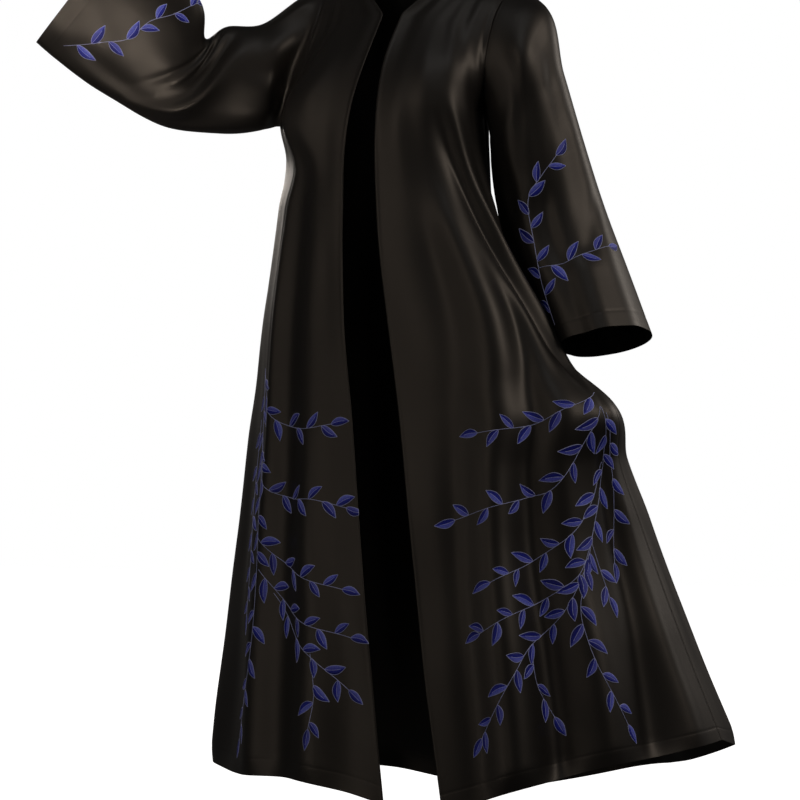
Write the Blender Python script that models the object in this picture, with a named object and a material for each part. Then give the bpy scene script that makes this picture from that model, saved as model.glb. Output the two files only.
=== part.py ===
"""An abaya cloak, worn open at the front: two fronts, a back and two flared sleeves, each a cloth wall.

Metres, +Z up. The wearer faces -Y and their left is +X. The origin lies midway between the two points
where the shoulder seams meet the neckline, so the cloak hangs from it down to the hem, 1.4 m below.
The right arm is raised to the side and the left hand lifts the skirt, and the cloak keeps that pose.
"""

import bpy
import numpy as np

WALL = 0.0016  # thickness of the satin with its turned seams and hems
SEAM_GAP = 0.0003  # between two pieces along a seam
NECK_HALF_WIDTH = 0.075
ARMHOLE_DEPTH = 0.25  # drop of the underarm below the neck point, measured down the cloth
CLOAK_LENGTH = 1.40

ARMHOLE_ROWS = 12  # quads down one half of an armhole, so 24 round a sleeve
SKIRT_ROWS = 22  # quads from underarm to hem
COLUMNS = 10  # quads across a front, and across each half of the back
SLEEVE_ROWS = 17

SATIN_BLACK = (0.012, 0.011, 0.011, 1.0)
SATIN_ROUGHNESS = 0.42

# Lines down the cloth. Each row: level, drop along the cloth, x, y, z.
LEFT_EDGE = (
    ("neck point", 0.000, 0.075, 0.000, 0.000),
    ("neck side", 0.055, 0.058, -0.046, -0.040),
    ("neck front", 0.110, 0.010, -0.078, -0.087),
    ("chest", 0.175, -0.003, -0.122, -0.165),
    ("bust", 0.250, -0.007, -0.146, -0.242),
    ("waist", 0.420, 0.000, -0.163, -0.420),
    ("hip", 0.600, 0.026, -0.183, -0.600),
    ("hand", 0.770, 0.055, -0.199, -0.765),
    ("knee", 0.960, 0.085, -0.226, -0.950),
    ("shin", 1.180, 0.121, -0.258, -1.170),
    ("hem", 1.400, 0.163, -0.285, -1.386),
)
RIGHT_EDGE = (
    ("neck point", 0.000, -0.075, 0.000, 0.000),
    ("neck side", 0.055, -0.062, -0.046, -0.040),
    ("neck front", 0.110, -0.021, -0.078, -0.087),
    ("chest", 0.175, -0.036, -0.122, -0.168),
    ("bust", 0.250, -0.053, -0.146, -0.245),
    ("waist", 0.420, -0.060, -0.163, -0.420),
    ("hip", 0.600, -0.049, -0.183, -0.600),
    ("hand", 0.770, -0.028, -0.199, -0.765),
    ("knee", 0.960, -0.003, -0.226, -0.950),
    ("shin", 1.180, 0.030, -0.258, -1.170),
    ("hem", 1.400, 0.063, -0.285, -1.392),
)
CENTRE_BACK = (
    ("neck point", 0.000, None, 0.000, 0.000),
    ("neck side", 0.055, None, 0.034, -0.010),
    ("neck back", 0.110, 0.000, 0.048, -0.018),
    ("shoulder blades", 0.175, -0.003, 0.083, -0.100),
    ("bust", 0.250, -0.006, 0.102, -0.190),
    ("waist", 0.420, -0.012, 0.118, -0.385),
    ("hip", 0.600, -0.004, 0.148, -0.585),
    ("hand", 0.770, 0.010, 0.172, -0.758),
    ("knee", 0.960, 0.028, 0.200, -0.950),
    ("shin", 1.180, 0.052, 0.230, -1.185),
    ("hem", 1.400, 0.078, 0.255, -1.426),
)

# Side seams, from the underarm down. Each row: level, drop, x, y, z, and how far the front and the
# back lean out from the seam: the slope, in x over y, of each one's section where it meets the seam.
LEFT_SEAM = (
    ("underarm", 0.250, 0.132, -0.006, -0.252, 0.00, 0.00),
    ("waist", 0.420, 0.138, -0.004, -0.402, 0.75, 0.05),
    ("hip", 0.520, 0.139, 0.000, -0.496, 1.28, 0.05),
    ("thigh", 0.630, 0.199, 0.000, -0.603, 1.28, 0.10),
    ("above hand", 0.700, 0.270, -0.030, -0.662, 1.00, 0.20),
    ("hand", 0.770, 0.378, -0.078, -0.738, 0.25, 0.10),
    ("below hand", 0.860, 0.384, -0.058, -0.830, 0.05, 0.00),
    ("knee", 0.960, 0.408, -0.030, -0.925, -0.10, -0.10),
    ("shin", 1.180, 0.476, -0.010, -1.122, -0.15, -0.15),
    ("hem", 1.400, 0.540, 0.000, -1.286, -0.25, -0.25),
)
RIGHT_SEAM = (
    ("underarm", 0.250, -0.205, -0.028, -0.263, -0.80, 0.10),
    ("ribs", 0.300, -0.229, 0.000, -0.298, 0.10, 0.00),
    ("waist", 0.420, -0.247, 0.020, -0.402, 0.10, 0.00),
    ("hip", 0.600, -0.282, 0.038, -0.585, 0.10, 0.00),
    ("hand", 0.770, -0.308, 0.056, -0.752, 0.10, 0.00),
    ("knee", 0.960, -0.336, 0.076, -0.938, 0.10, 0.00),
    ("shin", 1.180, -0.366, 0.092, -1.155, 0.10, 0.00),
    ("hem", 1.400, -0.388, 0.090, -1.364, 0.10, 0.00),
)

# Armholes. Each row: level, drop, x and y on the front, x and y on the back, z.
LEFT_ARMHOLE = (
    ("shoulder tip", 0.000, 0.180, 0.000, 0.180, 0.000, -0.038),
    ("upper", 0.065, 0.166, -0.042, 0.172, 0.040, -0.085),
    ("middle", 0.130, 0.157, -0.062, 0.165, 0.058, -0.145),
    ("lower", 0.200, 0.149, -0.054, 0.156, 0.050, -0.210),
    ("underarm", 0.250, 0.132, -0.006, 0.132, -0.006, -0.252),
)
RIGHT_ARMHOLE = (
    ("shoulder tip", 0.000, -0.160, 0.000, -0.160, 0.000, -0.022),
    ("upper", 0.065, -0.154, -0.044, -0.160, 0.038, -0.070),
    ("middle", 0.130, -0.167, -0.068, -0.168, 0.052, -0.140),
    ("lower", 0.200, -0.182, -0.072, -0.185, 0.036, -0.214),
    ("underarm", 0.250, -0.205, -0.028, -0.205, -0.028, -0.263),
)

# Sleeve rings past the armhole. Each row: level, the shoulder-side point x, y, z, the
# underarm-side point x, y, z, and half the depth from front to back.
LEFT_SLEEVE = (
    ("cap", 0.228, 0.012, -0.070, 0.141, -0.012, -0.275, 0.066),
    ("upper arm", 0.264, 0.020, -0.190, 0.145, -0.010, -0.335, 0.067),
    ("above elbow", 0.293, 0.034, -0.300, 0.149, 0.006, -0.400, 0.074),
    ("elbow", 0.324, 0.044, -0.405, 0.160, 0.016, -0.472, 0.084),
    ("forearm", 0.364, 0.036, -0.505, 0.198, 0.018, -0.557, 0.096),
    ("cuff", 0.412, 0.018, -0.620, 0.262, 0.010, -0.656, 0.110),
)
RIGHT_SLEEVE = (
    ("cap", -0.194, -0.022, -0.040, -0.262, -0.004, -0.260, 0.056),
    ("upper arm", -0.258, -0.052, -0.088, -0.262, -0.058, -0.272, 0.060),
    ("above elbow", -0.310, -0.085, -0.094, -0.320, -0.085, -0.277, 0.053),
    ("elbow", -0.332, -0.120, -0.118, -0.404, -0.120, -0.265, 0.047),
    ("forearm", -0.320, -0.155, -0.072, -0.496, -0.155, -0.215, 0.043),
    ("lower forearm", -0.350, -0.195, 0.000, -0.546, -0.195, -0.176, 0.041),
    ("cuff", -0.408, -0.235, 0.078, -0.596, -0.235, -0.124, 0.040),
)

# How far the hem rises between the opening edge and the side seam. Each row: place across, rise.
LEFT_HEM = ((0.00, 0.000), (0.20, 0.012), (0.45, 0.022), (0.75, 0.014), (1.00, 0.000))
RIGHT_HEM = ((0.00, 0.014), (0.12, 0.027), (0.27, 0.033), (0.50, 0.018), (1.00, 0.000))
BACK_HEM = ((0.00, 0.000), (0.40, 0.010), (0.75, 0.010), (1.00, 0.000))
HEM_RISE_FROM = 0.85  # drop from which the cloth above takes up the hem's rise

# How round the section is at each drop: 0 is a straight line across, 1 a quarter of an ellipse.
ROUNDNESS = ((0.00, 0.00), (0.06, 0.15), (0.12, 0.45), (0.18, 0.80), (0.25, 1.00), (1.40, 1.00))

# Folds down a front, ridges with a positive height. Each row: name, drop where it starts and ends,
# place across the front there (0 at the opening edge, 1 at the side seam), bend (above 1 holds
# back the move across), half width as a fraction of the front, height at the start and at the end.
LEFT_FRONT_FOLDS = (
    ("bust drag", 0.20, 0.74, 0.50, 0.82, 1.50, 0.080, 0.010, 0.010),
    ("valley beside it", 0.22, 0.76, 0.42, 0.78, 1.50, 0.070, -0.006, -0.012),
    ("cone", 0.34, 1.46, 0.36, 0.24, 1.00, 0.090, 0.006, 0.026),
    ("valley past it", 0.50, 1.46, 0.48, 0.37, 1.00, 0.060, -0.006, -0.022),
    ("middle cone", 0.66, 1.46, 0.60, 0.52, 1.00, 0.070, 0.004, 0.020),
    ("hand valley", 0.78, 1.46, 0.84, 0.68, 1.00, 0.065, -0.008, -0.022),
    ("hand cone", 0.84, 1.46, 0.88, 0.85, 1.00, 0.055, 0.002, 0.010),
)
RIGHT_FRONT_FOLDS = (
    ("armhole crease", 0.22, 1.46, 0.47, 0.44, 1.00, 0.060, 0.008, 0.012),
    ("valley beside it", 0.30, 1.46, 0.34, 0.33, 1.00, 0.070, -0.005, -0.016),
    ("edge cone", 0.60, 1.46, 0.18, 0.21, 1.00, 0.080, 0.003, 0.014),
    ("side valley", 0.60, 1.46, 0.66, 0.62, 1.00, 0.080, -0.003, -0.010),
    ("side cone", 0.70, 1.46, 0.82, 0.80, 1.00, 0.070, 0.003, 0.014),
)
BACK_FOLDS = (
    ("left cone", 0.45, 1.46, 0.35, 0.30, 1.00, 0.100, 0.004, 0.026),
    ("left valley", 0.55, 1.46, 0.60, 0.52, 1.00, 0.080, -0.004, -0.020),
    ("side cone", 0.70, 1.46, 0.80, 0.74, 1.00, 0.070, 0.004, 0.020),
)

# Fullness of the chest on each front, and of the shoulder blades behind: drop, place across,
# half height down the cloth, half width across, and how far the cloth stands out.
LEFT_CHEST = (0.235, 0.48, 0.085, 0.300, 0.024)
RIGHT_CHEST = (0.235, 0.34, 0.085, 0.190, 0.018)
SHOULDER_BLADES = (0.180, 0.48, 0.070, 0.220, 0.010)

# Folds along a sleeve. Each row: name, place along it where it starts and ends (0 at the armhole,
# 1 at the cuff), angle round it there (0 on top, 90 in front, 180 below), half width in degrees,
# height at the start and at the end.
LEFT_SLEEVE_FOLDS = (
    ("armhole pleat", 0.02, 0.55, 78, 95, 16, 0.008, 0.004),
    ("front valley", 0.04, 0.80, 48, 60, 20, -0.006, -0.006),
    ("elbow ridge", 0.30, 1.10, 30, 36, 18, 0.003, 0.006),
    ("back valley", 0.20, 0.90, 290, 300, 24, -0.005, -0.006),
)
RIGHT_SLEEVE_FOLDS = (
    ("armhole pleat", 0.03, 0.30, 70, 60, 16, 0.006, 0.006),
    ("armhole valley", 0.05, 0.34, 95, 84, 14, -0.006, -0.006),
    ("elbow sling", 0.26, 0.60, 50, 150, 18, 0.006, 0.010),
    ("elbow valley", 0.30, 0.56, 28, 110, 14, -0.008, -0.006),
    ("back ridge", 0.10, 0.60, 250, 215, 22, 0.006, 0.006),
)


def smooth_step(value):
    value = np.clip(value, 0.0, 1.0)
    return value * value * (3.0 - 2.0 * value)


def curve_through(knots, values, at):
    """A smooth curve through the values at the knots, read at the places asked for."""
    knots = np.asarray(knots, float)
    values = np.asarray(values, float)
    slopes = np.gradient(values, knots, axis=0)
    span = np.clip(np.searchsorted(knots, at, side="right") - 1, 0, len(knots) - 2)
    width = knots[span + 1] - knots[span]
    t = (at - knots[span]) / width
    extra = values.ndim - 1
    t = t.reshape(t.shape + (1,) * extra)
    width = width.reshape(width.shape + (1,) * extra)
    start = (1 + 2 * t) * (1 - t) ** 2 * values[span] + t * (1 - t) ** 2 * width * slopes[span]
    end = t * t * (3 - 2 * t) * values[span + 1] - t * t * (1 - t) * width * slopes[span + 1]
    return start + end


def line_at(table, drops, first=2, count=3):
    """Columns of a line's table, from the given first one, read at each drop."""
    knots = [row[1] for row in table]
    values = [row[first : first + count] for row in table]
    return curve_through(knots, values, drops)


def centre_back_table(side):
    """The middle of the back, whose top two rows follow the neckline out to one side."""
    out = {0: side * NECK_HALF_WIDTH, 1: side * NECK_HALF_WIDTH * 0.56}
    return [row[:2] + (out.get(i, row[2]),) + row[3:] for i, row in enumerate(CENTRE_BACK)]


def split_at_neck(table, drops):
    """A line read in two stretches, so that the corner of the neckline stays sharp."""
    corner = table[2][1]
    above = line_at(table[:3], drops)
    below = line_at(table[2:], drops)
    return np.where((drops < corner)[:, None], above, below)


def outer_line(armhole, seam, drops, on_back):
    """The armhole down to the underarm, then the side seam."""
    x_column = 4 if on_back else 2
    across = line_at(armhole, drops, x_column, 2)
    height = line_at(armhole, drops, 6, 1)
    upper = np.concatenate([across, height], axis=1)
    lower = line_at(seam, drops)
    return np.where((drops < ARMHOLE_DEPTH)[:, None], upper, lower)


def panel_base(inner, outer, lean, drops, places):
    """The cloth from an inner line to an outer one: straight at the shoulder, rounding to an
    ellipse's quarter by the underarm. Places run from 0 on the inner line to 1 on the outer."""
    roundness = np.interp(drops, *zip(*ROUNDNESS))[:, None]
    angle = (1.0 - places)[None, :] * np.pi / 2
    centre_x = inner[:, :1] + (lean * (inner[:, 1] - outer[:, 1]))[:, None]
    centre_y = outer[:, 1:2]
    towards_seam = (outer[:, :1] - centre_x) * np.cos(angle)
    towards_middle = (inner[:, :1] - centre_x) * np.sin(angle)
    round_x = centre_x + towards_seam + towards_middle
    round_y = centre_y + (inner[:, 1:2] - centre_y) * np.sin(angle)
    flat = inner[:, None, :] + (outer - inner)[:, None, :] * places[None, :, None]
    points = flat.copy()
    points[:, :, 0] += roundness * (round_x - flat[:, :, 0])
    points[:, :, 1] += roundness * (round_y - flat[:, :, 1])
    return points


def bump(distance):
    return np.exp(-(distance**2))


def panel_relief(folds, fullness, drops, places):
    """How far the cloth stands out of its base at each point."""
    down = drops[:, None]
    across = places[None, :]
    relief = np.zeros((len(drops), len(places)))
    for _, start, end, from_place, to_place, bend, half_width, from_height, to_height in folds:
        along = np.clip((down - start) / (end - start), 0.0, 1.0)
        middle = from_place + (to_place - from_place) * along**bend
        height = from_height + (to_height - from_height) * along
        fade = smooth_step((down - start) / 0.12) * smooth_step((end - down) / 0.10)
        relief += height * fade * bump((across - middle) / half_width)
    drop, place, half_height, half_width, reach = fullness
    relief += reach * bump((down - drop) / half_height) * bump((across - place) / half_width)
    clear_of_seams = smooth_step((1.0 - across) / 0.10) * smooth_step(down / 0.06)
    return relief * clear_of_seams


def outward(points, side):
    """Unit normals of a grid that runs down and then across towards the given side."""
    down = np.gradient(points, axis=0)
    across = np.gradient(points, axis=1)
    return unit(np.cross(down, across) * side)


def panel(inner, armhole, seam, hem, folds, fullness, side, on_back):
    """The points of one front, or of one half of the back, from its inner line to its outer."""
    drops = garment_drops()
    places = np.linspace(0.0, 1.0, COLUMNS + 1)
    outer = outer_line(armhole, seam, drops, on_back)
    lean = line_at(seam, np.maximum(drops, ARMHOLE_DEPTH), 6 if on_back else 5, 1)[:, 0]
    base = panel_base(split_at_neck(inner, drops), outer, lean, drops, places)
    rise = curve_through(*zip(*hem), places)
    base[:, :, 2] += smooth_step((drops - HEM_RISE_FROM) / (CLOAK_LENGTH - HEM_RISE_FROM))[:, None] * rise
    relief = panel_relief(folds, fullness, drops, places)
    if on_back:
        relief *= smooth_step(places / 0.10)
    facing = -side if on_back else side
    return base + outward(base, facing) * relief[:, :, None]


def garment_drops():
    """The drop of each row of the fronts and back: even down the armhole, and again below it."""
    upper = np.linspace(0.0, ARMHOLE_DEPTH, ARMHOLE_ROWS + 1)
    lower = np.linspace(ARMHOLE_DEPTH, CLOAK_LENGTH, SKIRT_ROWS + 1)
    return np.concatenate([upper, lower[1:]])


def sleeve(front_panel, back_panel, table, folds, side):
    """The rings of a sleeve, from the armhole's own points out to the cuff."""
    front_half = front_panel[: ARMHOLE_ROWS + 1, -1]
    back_half = back_panel[1:ARMHOLE_ROWS, -1][::-1]
    armhole = np.concatenate([front_half, back_half])
    tops = np.array([row[1:4] for row in table])
    bottoms = np.array([row[4:7] for row in table])
    half_depths = np.array([row[7] for row in table])
    centres = np.concatenate([armhole.mean(axis=0)[None], (tops + bottoms) / 2])
    steps = np.linalg.norm(np.diff(centres, axis=0), axis=1)
    knots = np.concatenate([[0.0], np.cumsum(steps)])
    axes = np.gradient(centres, knots, axis=0)[1:]
    across = (tops - bottoms) / 2
    front_way = side * np.cross(axes, across)
    front_way *= (half_depths / np.linalg.norm(front_way, axis=1))[:, None]
    turn = np.arange(len(armhole)) * 2 * np.pi / len(armhole)
    rings = (
        ((tops + bottoms) / 2)[:, None, :]
        + across[:, None, :] * np.cos(turn)[None, :, None]
        + front_way[:, None, :] * np.sin(turn)[None, :, None]
    )
    rings = np.concatenate([armhole[None], rings])
    along = np.linspace(0.0, 1.0, SLEEVE_ROWS + 1)
    points = curve_through(knots, rings, along * knots[-1])
    relief = sleeve_relief(folds, along, np.degrees(turn))
    return points + tube_outward(points, side) * relief[:, :, None]


def sleeve_relief(folds, along, angles):
    relief = np.zeros((len(along), len(angles)))
    place = along[:, None]
    for _, start, end, from_angle, to_angle, half_width, from_height, to_height in folds:
        t = np.clip((place - start) / (end - start), 0.0, 1.0)
        middle = from_angle + (to_angle - from_angle) * t
        off = (angles[None, :] - middle + 180.0) % 360.0 - 180.0
        height = from_height + (to_height - from_height) * t
        fade = smooth_step((place - start) / 0.10) * smooth_step((end - place) / 0.10)
        relief += height * fade * bump(off / half_width)
    return relief * smooth_step(place / 0.08)


def tube_outward(points, side):
    down = np.gradient(points, axis=0)
    around = np.roll(points, -1, axis=1) - np.roll(points, 1, axis=1)
    return unit(np.cross(around, down) * side)


def grid_faces(rows, columns, wraps):
    """Quads of a grid of points, rows by columns, closed round on itself if it wraps."""
    faces = []
    for i in range(rows - 1):
        for j in range(columns if wraps else columns - 1):
            k = (j + 1) % columns
            faces.append((i * columns + j, (i + 1) * columns + j, (i + 1) * columns + k, i * columns + k))
    return np.array(faces)


def surface(grids, wraps, outward_turn):
    """One welded surface from grids that share points: its points and its quads, facing out."""
    points = []
    faces = []
    for grid, turn in zip(grids, outward_turn):
        rows, columns = grid.shape[:2]
        quads = grid_faces(rows, columns, wraps) + sum(len(block) for block in points)
        faces.append(quads if turn > 0 else quads[:, ::-1])
        points.append(grid.reshape(-1, 3))
    return weld(np.concatenate(points), np.concatenate(faces))


def weld(points, faces):
    _, first, index = np.unique(np.round(points, 6), axis=0, return_index=True, return_inverse=True)
    return points[first], index.reshape(-1)[faces]


def unit(vectors):
    return vectors / np.maximum(np.linalg.norm(vectors, axis=-1, keepdims=True), 1e-12)


def own_normals(points, faces):
    """Outward normals at the points of one piece."""
    corners = points[faces]
    face_normals = np.cross(corners[:, 2] - corners[:, 0], corners[:, 3] - corners[:, 1])
    summed = np.zeros_like(points)
    for corner in range(4):
        np.add.at(summed, faces[:, corner], face_normals)
    return unit(summed)


def seam_normals(pieces):
    """Outward normals for every piece, shared where pieces meet: a seam's is midway between theirs."""
    own = [own_normals(points, faces) for points, faces in pieces.values()]
    ends = np.cumsum([len(normals) for normals in own])
    all_points = np.concatenate([points for points, _ in pieces.values()])
    _, index = np.unique(np.round(all_points, 6), axis=0, return_inverse=True)
    index = index.reshape(-1)
    summed = np.zeros((index.max() + 1, 3))
    np.add.at(summed, index, np.concatenate(own))
    return dict(zip(pieces, np.split(unit(summed)[index], ends[:-1])))


def open_edges(faces):
    """The edges that only one quad uses, in the order that its quad runs along them."""
    runs = np.concatenate([faces[:, [i, (i + 1) % 4]] for i in range(4)])
    _, index, count = np.unique(np.sort(runs, axis=1), axis=0, return_inverse=True, return_counts=True)
    return runs[count[index.reshape(-1)] == 1]


def drawn_in(points, faces, normals):
    """The points with every open edge drawn into the piece by half of the seam gap."""
    runs = open_edges(faces)
    along = points[runs[:, 1]] - points[runs[:, 0]]
    inward = np.cross(normals[runs[:, 0]] + normals[runs[:, 1]], along)
    inward /= np.linalg.norm(inward, axis=1, keepdims=True)
    both = np.zeros_like(points)
    np.add.at(both, runs[:, 0], inward)
    np.add.at(both, runs[:, 1], inward)
    squared = np.maximum((both**2).sum(axis=1, keepdims=True), 1.0)
    return points + SEAM_GAP * both / squared


def halved(points, faces):
    """Each quad as two triangles, cut along its shorter diagonal."""
    a, b, c, d = (points[faces[:, corner]] for corner in range(4))
    shorter = np.linalg.norm(c - a, axis=1) <= np.linalg.norm(d - b, axis=1)
    first = np.where(shorter[:, None], faces[:, [0, 1, 2]], faces[:, [1, 2, 3]])
    second = np.where(shorter[:, None], faces[:, [0, 2, 3]], faces[:, [1, 3, 0]])
    return np.concatenate([first, second])


def cloth_wall(name, points, faces, normals):
    """A closed solid: the outer surface, the same one wall thickness in, and strips round the edges."""
    outer = drawn_in(points, faces, normals)
    inner = outer - WALL * normals
    count = len(points)
    strips = [(b, a, a + count, b + count) for a, b in open_edges(faces)]
    halves = halved(points, faces)
    cells = halves.tolist() + (halves[:, ::-1] + count).tolist() + strips
    mesh = bpy.data.meshes.new(name)
    mesh.from_pydata(np.concatenate([outer, inner]).tolist(), [], cells)
    mesh.shade_smooth()
    mesh.set_sharp_from_angle(angle=np.radians(50))
    mesh.materials.append(satin(name))
    solid = bpy.data.objects.new(name, mesh)
    bpy.context.scene.collection.objects.link(solid)
    return solid


def satin(piece):
    """The black satin of one piece."""
    material = bpy.data.materials.new("satin_" + piece)
    material.use_nodes = True
    shader = material.node_tree.nodes["Principled BSDF"]
    shader.inputs["Base Color"].default_value = SATIN_BLACK
    shader.inputs["Roughness"].default_value = SATIN_ROUGHNESS
    shader.inputs["Metallic"].default_value = 0.0
    return material


def main():
    for thing in list(bpy.data.objects):
        bpy.data.objects.remove(thing, do_unlink=True)

    left = (LEFT_ARMHOLE, LEFT_SEAM)
    right = (RIGHT_ARMHOLE, RIGHT_SEAM)
    left_front = panel(LEFT_EDGE, *left, LEFT_HEM, LEFT_FRONT_FOLDS, LEFT_CHEST, 1, False)
    right_front = panel(RIGHT_EDGE, *right, RIGHT_HEM, RIGHT_FRONT_FOLDS, RIGHT_CHEST, -1, False)
    left_back = panel(centre_back_table(1), *left, BACK_HEM, BACK_FOLDS, SHOULDER_BLADES, 1, True)
    right_back = panel(centre_back_table(-1), *right, BACK_HEM, BACK_FOLDS, SHOULDER_BLADES, -1, True)
    left_sleeve = sleeve(left_front, left_back, LEFT_SLEEVE, LEFT_SLEEVE_FOLDS, 1)
    right_sleeve = sleeve(right_front, right_back, RIGHT_SLEEVE, RIGHT_SLEEVE_FOLDS, -1)

    pieces = {
        "front_left": surface([left_front], False, [1]),
        "front_right": surface([right_front], False, [-1]),
        "back": surface([left_back, right_back], False, [-1, 1]),
        "sleeve_left": surface([left_sleeve], True, [-1]),
        "sleeve_right": surface([right_sleeve], True, [1]),
    }
    normals = seam_normals(pieces)
    for name, (points, faces) in pieces.items():
        cloth_wall(name, points, faces, normals[name])


main()
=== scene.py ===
"""The looks of an abaya cloak: black satin with embroidered leaf sprays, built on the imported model.

Metres, +Z up, in the model's own frame. The wearer faces -Y and their left is +X. The cloth repeats
the model's own lines and folds on a finer grid, and adds the finer creases, the turned edges and
hems, and the embroidery.
"""

import bpy
import numpy as np
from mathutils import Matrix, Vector


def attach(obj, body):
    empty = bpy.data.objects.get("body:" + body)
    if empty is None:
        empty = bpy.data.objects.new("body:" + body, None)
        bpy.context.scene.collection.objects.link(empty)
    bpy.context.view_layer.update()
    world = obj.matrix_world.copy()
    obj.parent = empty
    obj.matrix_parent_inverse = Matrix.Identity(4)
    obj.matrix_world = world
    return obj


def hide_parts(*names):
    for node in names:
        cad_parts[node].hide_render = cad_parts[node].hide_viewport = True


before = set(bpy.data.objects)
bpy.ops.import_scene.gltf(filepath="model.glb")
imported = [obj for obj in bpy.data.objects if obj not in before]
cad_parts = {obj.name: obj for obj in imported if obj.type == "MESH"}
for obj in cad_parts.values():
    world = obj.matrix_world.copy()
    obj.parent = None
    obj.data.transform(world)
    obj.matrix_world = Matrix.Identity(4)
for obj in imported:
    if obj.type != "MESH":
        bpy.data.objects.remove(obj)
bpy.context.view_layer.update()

CLOTH_THICKNESS = 0.0006
NECK_HALF_WIDTH = 0.075
NECK_SIDE_SHARE = 0.56  # how far out the back neckline still is at the centre back's second row
NECK_DEPTH = 0.110  # drop of the neckline's front corner and of its middle at the back
ARMHOLE_DEPTH = 0.25
CLOAK_LENGTH = 1.40

ARMHOLE_ROWS = 60  # quads down one half of an armhole, so 120 round a sleeve
SKIRT_ROWS = 180
PANEL_COLUMNS = 84
SLEEVE_ROWS = 110
CLOSE_PLACES = (0.004, 0.008, 0.013, 0.019, 0.026)  # extra columns beside an edge or a seam
CLOSE_DROPS = (0.001, 0.003, 0.022, 0.025, 0.027, 0.029, 0.031, 0.034)  # extra rows above a hem
CLOSE_ARMHOLE = (0.003, 0.006, 0.010, 0.015)  # extra rings of a sleeve past its armhole

EDGE_ROLL = 0.0008  # how far the turned opening and neck edges stand up
EDGE_ROLL_WIDTH = 0.0028
SEAM_DITCH = 0.0011
SEAM_DITCH_WIDTH = 0.0035
HEM_STITCH_UP = 0.028  # the line of stitches above the hem and the cuff
HEM_STITCH_DEPTH = 0.0003
HEM_STITCH_HALF_WIDTH = 0.002

FOLD_FADE_IN = 0.12  # drop over which a fold of a front or of the back rises
FOLD_FADE_OUT = 0.10
SLEEVE_FOLD_FADE = 0.10  # share of a sleeve's length over which its folds rise and die away
SMOOTH_BY_SEAM = 0.10  # share of a panel, beside a seam or the centre back, that stays smooth
EASING_PASSES = 90
EASED_HEIGHT = 0.10  # reach of the easing above and below the underarm
EASED_FROM_SEAM = 0.40  # place from the seam at which the easing is whole
BACK_ROUNDING = 0.10  # reach of the rounding on each side of the centre back
BACK_ROUNDING_FADE = 0.12

# Flat width and length of each sheet's whole cut, and its area, in metres.
BACK_CUT = ((1.24, 1.45), 1.08)
FRONT_CUT = ((0.62, 1.43), 0.56)
SLEEVE_CUT = ((0.60, 0.64), 0.32)
SLEEVE_SPREAD = (0.55, 0.58)  # round and length of a sleeve in its texture map

# Lines down the cloth. Each row: level, drop along the cloth, x, y, z.
LEFT_EDGE = (
    ("neck point", 0.000, 0.075, 0.000, 0.000),
    ("neck side", 0.055, 0.058, -0.046, -0.040),
    ("neck front", 0.110, 0.010, -0.078, -0.087),
    ("chest", 0.175, -0.003, -0.122, -0.165),
    ("bust", 0.250, -0.007, -0.146, -0.242),
    ("waist", 0.420, 0.000, -0.163, -0.420),
    ("hip", 0.600, 0.026, -0.183, -0.600),
    ("hand", 0.770, 0.055, -0.199, -0.765),
    ("knee", 0.960, 0.085, -0.226, -0.950),
    ("shin", 1.180, 0.121, -0.258, -1.170),
    ("hem", 1.400, 0.163, -0.285, -1.386),
)
RIGHT_EDGE = (
    ("neck point", 0.000, -0.075, 0.000, 0.000),
    ("neck side", 0.055, -0.062, -0.046, -0.040),
    ("neck front", 0.110, -0.021, -0.078, -0.087),
    ("chest", 0.175, -0.036, -0.122, -0.168),
    ("bust", 0.250, -0.053, -0.146, -0.245),
    ("waist", 0.420, -0.060, -0.163, -0.420),
    ("hip", 0.600, -0.049, -0.183, -0.600),
    ("hand", 0.770, -0.028, -0.199, -0.765),
    ("knee", 0.960, -0.003, -0.226, -0.950),
    ("shin", 1.180, 0.030, -0.258, -1.170),
    ("hem", 1.400, 0.063, -0.285, -1.392),
)
CENTRE_BACK = (
    ("neck point", 0.000, None, 0.000, 0.000),
    ("neck side", 0.055, None, 0.034, -0.010),
    ("neck back", 0.110, 0.000, 0.048, -0.018),
    ("shoulder blades", 0.175, -0.003, 0.083, -0.100),
    ("bust", 0.250, -0.006, 0.102, -0.190),
    ("waist", 0.420, -0.012, 0.118, -0.385),
    ("hip", 0.600, -0.004, 0.148, -0.585),
    ("hand", 0.770, 0.010, 0.172, -0.758),
    ("knee", 0.960, 0.028, 0.200, -0.950),
    ("shin", 1.180, 0.052, 0.230, -1.185),
    ("hem", 1.400, 0.078, 0.255, -1.426),
)

# Side seams, from the underarm down. Each row: level, drop, x, y, z, and how far the front and the
# back lean out from the seam: the slope, in x over y, of each one's section where it meets the seam.
LEFT_SEAM = (
    ("underarm", 0.250, 0.132, -0.006, -0.252, 0.00, 0.00),
    ("waist", 0.420, 0.138, -0.004, -0.402, 0.75, 0.05),
    ("hip", 0.520, 0.139, 0.000, -0.496, 1.28, 0.05),
    ("thigh", 0.630, 0.199, 0.000, -0.603, 1.28, 0.10),
    ("above hand", 0.700, 0.270, -0.030, -0.662, 1.00, 0.20),
    ("hand", 0.770, 0.378, -0.078, -0.738, 0.25, 0.10),
    ("below hand", 0.860, 0.384, -0.058, -0.830, 0.05, 0.00),
    ("knee", 0.960, 0.408, -0.030, -0.925, -0.10, -0.10),
    ("shin", 1.180, 0.476, -0.010, -1.122, -0.15, -0.15),
    ("hem", 1.400, 0.540, 0.000, -1.286, -0.25, -0.25),
)
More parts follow.
